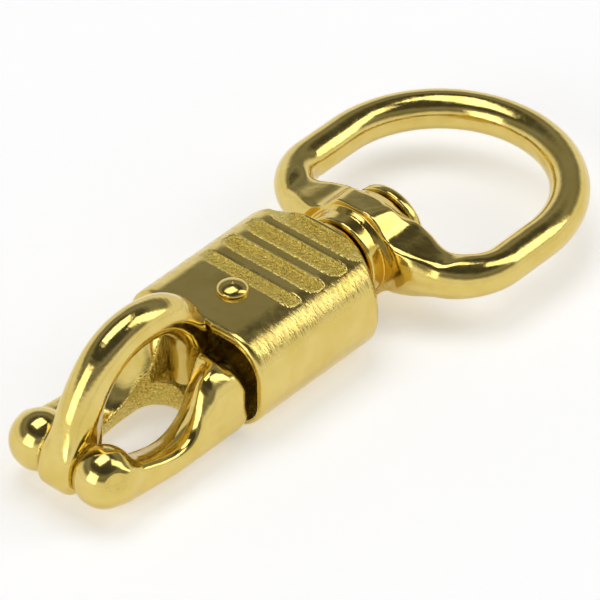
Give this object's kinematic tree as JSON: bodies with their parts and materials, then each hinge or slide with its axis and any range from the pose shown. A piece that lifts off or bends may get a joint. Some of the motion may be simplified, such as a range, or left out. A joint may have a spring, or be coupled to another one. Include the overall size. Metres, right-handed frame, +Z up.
{
  "type": "swivel snap hook",
  "caption": "Brass quick-release swivel snap: a pivoting hook closes into a forked body and is locked by a spring-loaded grooved sleeve; a ring eye swivels behind it.",
  "frame": {"origin": "on the surface that the sleeve's flat underside rests on, under the middle of the snap's length, width centred", "axes": "+X along the swivel axis towards the ring eye, +Y across the snap, +Z up out of the hook side"},
  "size_m": [0.1059, 0.0441, 0.0253],
  "materials": {
    "cast_brass": "polished outside, rough as cast between the prongs",
    "polished_brass": "polished",
    "satin_brass": "satin, linished along the rounded edges",
    "spring_wire": "drawn stainless wire"
  },
  "bodies": {
    "frame": {"fork_body": "cast_brass", "hinge_pin": "polished_brass", "collar": "polished_brass", "spring": "spring_wire"},
    "release": {"sleeve": "satin_brass", "sleeve_pin": "polished_brass"},
    "hook": {"hook": "polished_brass"},
    "eye": {"swivel_eye": "polished_brass"}
  },
  "joints": [
    {"name": "sleeve_slide", "type": "slide", "parent": "frame", "child": "release", "axis": [1, 0, 0], "range_m": [0, 0.0046], "stiffness_N_per_m": 900, "springref_m": -0.005, "deforming": ["spring"]},
    {"name": "hook_hinge", "type": "hinge", "parent": "frame", "child": "hook", "pos_m": [-0.02097, 0, 0.0075], "axis": [0, 1, 0], "range_deg": [0, 28]},
    {"name": "eye_swivel", "type": "hinge", "parent": "frame", "child": "eye", "pos_m": [0.01, 0, 0.0083], "axis": [1, 0, 0], "continuous": true}
  ],
  "couplings": [
    {"joint": "hook_hinge", "follows": "sleeve_slide", "rad_per_m": 106.2}
  ]
}
